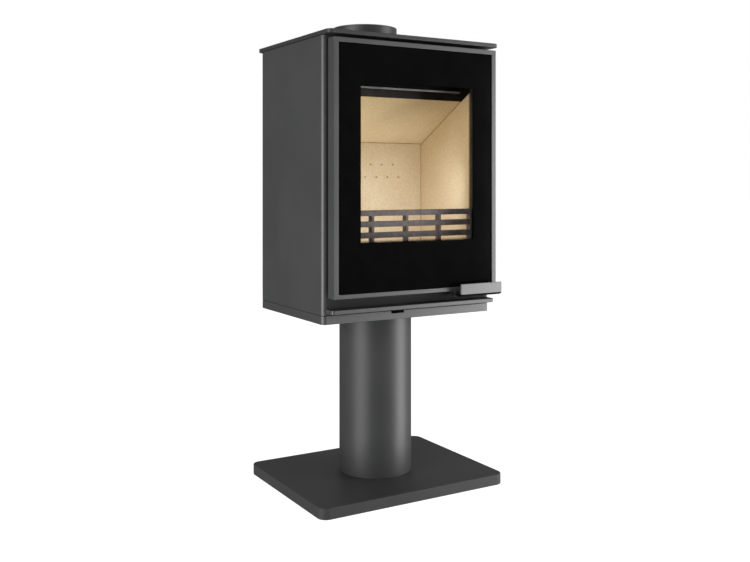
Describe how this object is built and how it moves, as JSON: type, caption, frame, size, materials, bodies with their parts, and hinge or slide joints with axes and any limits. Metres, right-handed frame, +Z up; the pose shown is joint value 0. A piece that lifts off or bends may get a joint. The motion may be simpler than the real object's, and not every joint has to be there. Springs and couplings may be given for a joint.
{
  "type": "wood burning stove",
  "caption": "Box-shaped wood burning stove on a round column and thick base plate, with a glazed side-hung door, brick-lined firebox and top flue collar.",
  "frame": {"origin": "centre of the column's axis on the underside of the base plate", "axes": "+Z up along the column, -Y out of the door, +X to the right of someone facing the door"},
  "size_m": [0.462, 0.3875, 1.039],
  "materials": {
    "painted_steel": "matt anthracite heat-proof paint",
    "dark_steel": "matt dark brown-black heat-proof paint",
    "fasteners": "plain zinc-plated steel",
    "vermiculite": "cream pressed vermiculite board",
    "cast_guard": "matt cast iron",
    "printed_glass": "clear ceramic glass with a black printed border",
    "gasket": "woven glass-fibre rope and tape"
  },
  "bodies": {
    "stove": {"base_plate": "painted_steel", "column_tube": "painted_steel", "column_base_flange": "dark_steel", "column_top_flange": "dark_steel", "base_bolt_1": "fasteners", "base_bolt_2": "fasteners", "base_bolt_3": "fasteners", "base_bolt_4": "fasteners", "top_bolt_1": "fasteners", "top_bolt_2": "fasteners", "top_bolt_3": "fasteners", "top_bolt_4": "fasteners", "base_pan": "painted_steel", "body_shell": "painted_steel", "rear_panel": "painted_steel", "rear_screw_1": "fasteners", "rear_screw_2": "fasteners", "rear_screw_3": "fasteners", "rear_screw_4": "fasteners", "rear_screw_5": "fasteners", "rear_screw_6": "fasteners", "ledge_plate": "painted_steel", "top_plate": "painted_steel", "flue_collar": "painted_steel", "firebox_shell": "dark_steel", "front_frame": "dark_steel", "brick_left": "vermiculite", "brick_right": "vermiculite", "brick_rear": "vermiculite", "brick_floor": "vermiculite", "baffle_board": "vermiculite", "airwash_plate": "dark_steel", "log_guard": "cast_guard", "rear_air_duct": "dark_steel", "air_valve_seat": "dark_steel", "latch_catch": "dark_steel", "hinge_plate_lower": "dark_steel", "hinge_plate_upper": "dark_steel", "hinge_pin_lower": "fasteners", "hinge_pin_upper": "fasteners"},
    "door": {"door_frame": "painted_steel", "door_glass": "printed_glass", "glass_gasket": "gasket", "glass_retainer": "dark_steel", "retainer_screw_1": "fasteners", "retainer_screw_2": "fasteners", "retainer_screw_3": "fasteners", "retainer_screw_4": "fasteners", "door_gasket": "gasket", "handle_pivot_pin": "fasteners"},
    "handle": {"door_handle": "painted_steel"},
    "air_control": {"air_slide": "dark_steel"}
  },
  "joints": [
    {"name": "door_hinge", "type": "hinge", "parent": "stove", "child": "door", "pos_m": [-0.194, -0.1695, 0.709], "axis": [0, 0, -1], "range_deg": [0, 105]},
    {"name": "handle_pivot", "type": "hinge", "parent": "door", "child": "handle", "pos_m": [0.108, -0.167, 0.434], "axis": [0, 0, -1], "range_deg": [0, 25]},
    {"name": "air_lever_slide", "type": "slide", "parent": "stove", "child": "air_control", "axis": [-1, 0, 0], "range_m": [0, 0.016]}
  ]
}
